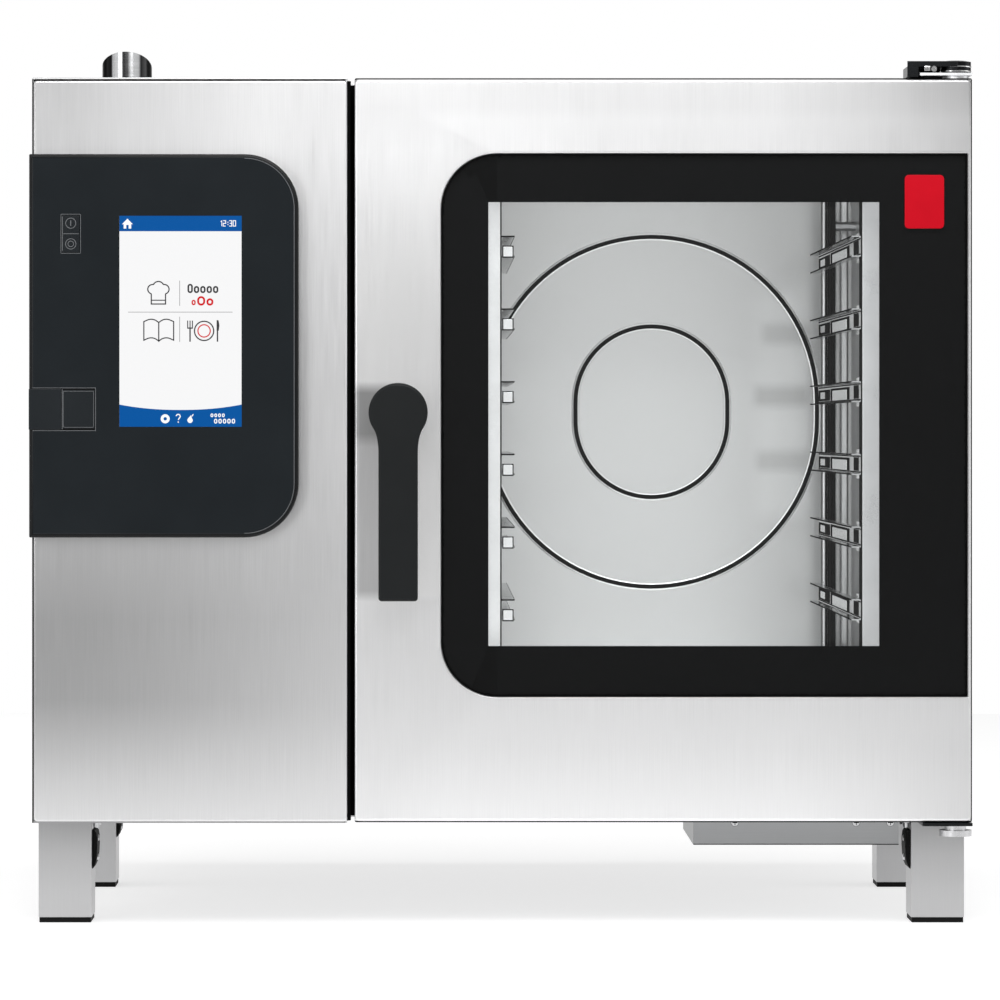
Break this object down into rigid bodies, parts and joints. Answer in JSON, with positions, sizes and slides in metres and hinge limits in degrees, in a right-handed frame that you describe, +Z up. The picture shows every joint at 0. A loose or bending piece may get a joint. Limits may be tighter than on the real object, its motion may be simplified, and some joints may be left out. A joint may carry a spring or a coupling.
{
  "type": "combi steamer oven",
  "caption": "Table-top combi steamer oven: glazed side-hinged door with a turning handle, touch control column, shelf racks, fan and steam generator, square legs.",
  "frame": {"origin": "on the floor under the middle of the oven's overall box", "axes": "+Z up, +X to the right as seen from the front, -Y out of the door's front face"},
  "size_m": [0.8782, 0.792, 0.839],
  "materials": {
    "steel_panel": "vertical brushed grain",
    "steel_inner": "satin",
    "steel_polished": "polished stainless steel",
    "steel_grey": "satin grey",
    "steel_part": "satin",
    "wool": "fibrous",
    "heater": "heat-darkened",
    "motor": "satin",
    "aluminium": "cast",
    "plastic_black": "satin black",
    "plastic_gloss": "gloss black",
    "handle_black": "satin black",
    "plastic_light": "satin",
    "board": "circuit board",
    "panel_glass": "gloss black",
    "screen": "lit screen",
    "lamp": "frosted",
    "gasket": "matt silicone",
    "glide_black": "matt",
    "door_glass": "tinted, polished",
    "mask_print": "black enamel print on the glass",
    "badge_red": "gloss"
  },
  "bodies": {
    "cabinet": {"base_pan": "steel_panel", "side_panel_left": "steel_panel", "side_panel_right": "steel_panel", "top_panel": "steel_panel", "rear_panel": "steel_panel", "column_front": "steel_panel", "front_frame": "steel_panel", "chamber_liner": "steel_inner", "wall_beads": "steel_inner", "insulation": "wool", "suction_panel": "steel_inner", "rack_left": "steel_inner", "rack_right": "steel_inner", "rack_studs": "steel_part", "heating_ring": "heater", "fan_motor": "motor", "steam_generator": "steel_part", "steam_pipe": "steel_part", "drain_pipe": "steel_part", "floor_sieve": "steel_part", "chamber_lamps": "lamp", "vent_pipe": "steel_polished", "control_housing": "plastic_black", "control_glass": "panel_glass", "display_module": "screen", "usb_socket": "steel_part", "circuit_board": "board", "contactors": "plastic_black", "cooling_fan_frame": "plastic_black", "water_valves": "plastic_light", "cable_gland": "plastic_black", "terminal_cover": "steel_part", "door_gasket": "gasket", "legs": "steel_panel", "leg_clamps": "plastic_black", "drip_collector": "steel_part", "collector_screws": "steel_part", "hinge_bracket_top": "steel_grey", "hinge_bracket_bottom": "steel_grey", "hinge_pins": "steel_part", "latch_keeper": "steel_part", "panel_screws": "steel_part"},
    "door": {"door_frame": "steel_panel", "outer_glass": "door_glass", "glass_mask": "mask_print", "door_inner_frame": "steel_panel", "inner_glass": "door_glass", "hinge_blocks": "aluminium", "door_badge": "badge_red"},
    "handle": {"door_handle": "handle_black", "handle_shaft": "steel_part"},
    "circulation_fan": {"fan_wheel": "steel_part", "fan_shaft": "steel_part"},
    "cooling_fan": {"cooling_rotor": "plastic_black"},
    "rocker": {"power_rocker": "plastic_gloss"},
    "socket_cover": {"usb_cover": "plastic_gloss"},
    "glide_fl": {"glide_front_left": "glide_black"},
    "glide_fr": {"glide_front_right": "glide_black"},
    "glide_rl": {"glide_rear_left": "glide_black"},
    "glide_rr": {"glide_rear_right": "glide_black"}
  },
  "joints": [
    {"name": "door_hinge", "type": "hinge", "parent": "cabinet", "child": "door", "pos_m": [0.423, -0.334, 0.45], "axis": [0, 0, 1], "range_deg": [0, 130]},
    {"name": "handle_turn", "type": "hinge", "parent": "door", "child": "handle", "pos_m": [-0.0968, -0.36, 0.4818], "axis": [0, 1, 0], "range_deg": [0, 180]},
    {"name": "circulation_fan_spin", "type": "hinge", "parent": "cabinet", "child": "circulation_fan", "pos_m": [-0.118, 0.012, 0.457], "axis": [1, 0, 0], "continuous": true},
    {"name": "cooling_fan_spin", "type": "hinge", "parent": "cabinet", "child": "cooling_fan", "pos_m": [-0.32, 0.35, 0.66], "axis": [0, 1, 0], "continuous": true},
    {"name": "power_rocker_tilt", "type": "hinge", "parent": "cabinet", "child": "rocker", "pos_m": [-0.4002, -0.36375, 0.6474], "axis": [1, 0, 0], "range_deg": [-5, 5], "stiffness_Nm_per_rad": 0.3},
    {"name": "socket_cover_slide", "type": "slide", "parent": "cabinet", "child": "socket_cover", "axis": [-1, 0, 0], "range_m": [0, 0.026]},
    {"name": "glide_fl_screw", "type": "slide", "parent": "cabinet", "child": "glide_fl", "axis": [0, 0, -1], "range_m": [0, 0.02]},
    {"name": "glide_fr_screw", "type": "slide", "parent": "cabinet", "child": "glide_fr", "axis": [0, 0, -1], "range_m": [0, 0.02]},
    {"name": "glide_rl_screw", "type": "slide", "parent": "cabinet", "child": "glide_rl", "axis": [0, 0, -1], "range_m": [0, 0.02]},
    {"name": "glide_rr_screw", "type": "slide", "parent": "cabinet", "child": "glide_rr", "axis": [0, 0, -1], "range_m": [0, 0.02]}
  ]
}
